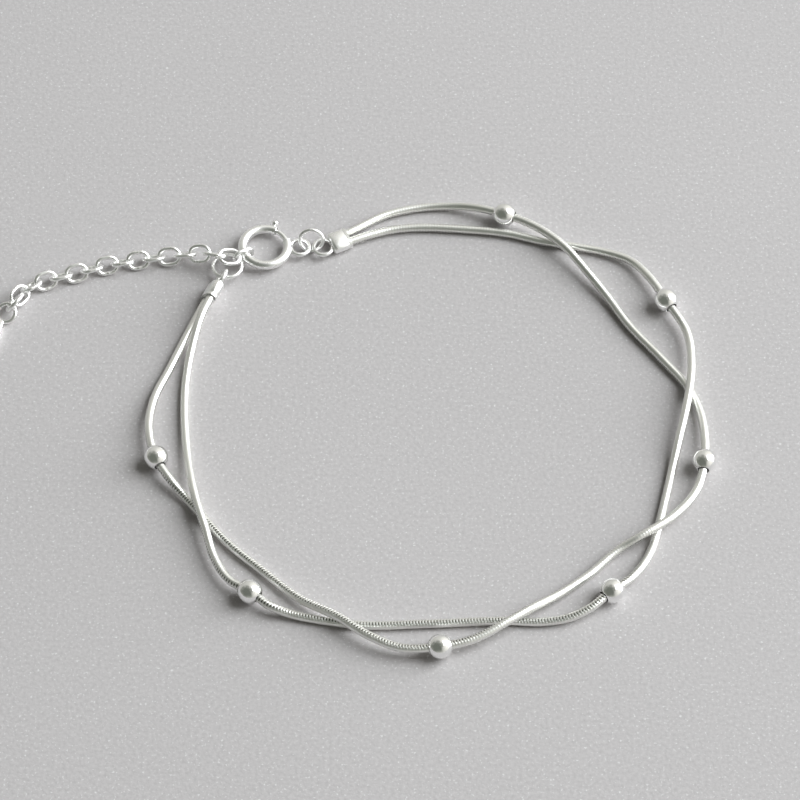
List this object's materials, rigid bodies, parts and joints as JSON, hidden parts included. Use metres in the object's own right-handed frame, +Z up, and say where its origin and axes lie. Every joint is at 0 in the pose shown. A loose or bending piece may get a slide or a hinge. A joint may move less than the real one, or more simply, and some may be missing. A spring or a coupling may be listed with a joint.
{
  "type": "beaded bracelet",
  "caption": "Fine bracelet of two twined snake chains with small drilled ball beads, spring ring clasp and cable-link extender with a flat drop, lying closed.",
  "frame": {"origin": "middle of the bottom of the bracelet's box, on the surface that it lies on", "axes": "+X along the longest extent, away from the extender's drop; +Y from the front bead towards the clasp's side; +Z up from the surface"},
  "size_m": [0.0754, 0.0544, 0.0028],
  "materials": {
    "chain_silver": "polished silver, ribbed by fine plates",
    "bead_silver": "mirror-polished silver",
    "finding_silver": "polished silver wire and sheet with fine wear"
  },
  "bodies": {
    "bracelet": {"strand_1": "chain_silver", "strand_2": "chain_silver", "bead_1": "bead_silver", "bead_2": "bead_silver", "bead_3": "bead_silver", "bead_4": "bead_silver", "bead_5": "bead_silver", "bead_6": "bead_silver", "bead_7": "bead_silver", "end_cap_left": "finding_silver", "end_cap_right": "finding_silver", "jump_ring_left": "finding_silver", "jump_ring_right": "finding_silver", "clasp_ring": "finding_silver", "extender_link_01": "finding_silver", "extender_link_02": "finding_silver", "extender_link_03": "finding_silver", "extender_link_04": "finding_silver", "extender_link_05": "finding_silver", "extender_link_06": "finding_silver", "extender_link_07": "finding_silver", "extender_link_08": "finding_silver", "extender_link_09": "finding_silver", "extender_link_10": "finding_silver", "extender_link_11": "finding_silver", "extender_link_12": "finding_silver", "extender_link_13": "finding_silver", "extender_link_14": "finding_silver", "extender_link_15": "finding_silver", "extender_link_16": "finding_silver", "drop_ring": "finding_silver", "end_drop": "finding_silver"},
    "gate": {"clasp_gate": "finding_silver"}
  },
  "joints": [
    {"name": "gate_slide", "type": "hinge", "parent": "bracelet", "child": "gate", "pos_m": [-0.00778, 0.02135, 0.00093], "axis": [0.043, 0.0357, 0.9984], "range_deg": [0, 48], "stiffness_Nm_per_rad": 0.00005, "springref_deg": -45.84}
  ]
}
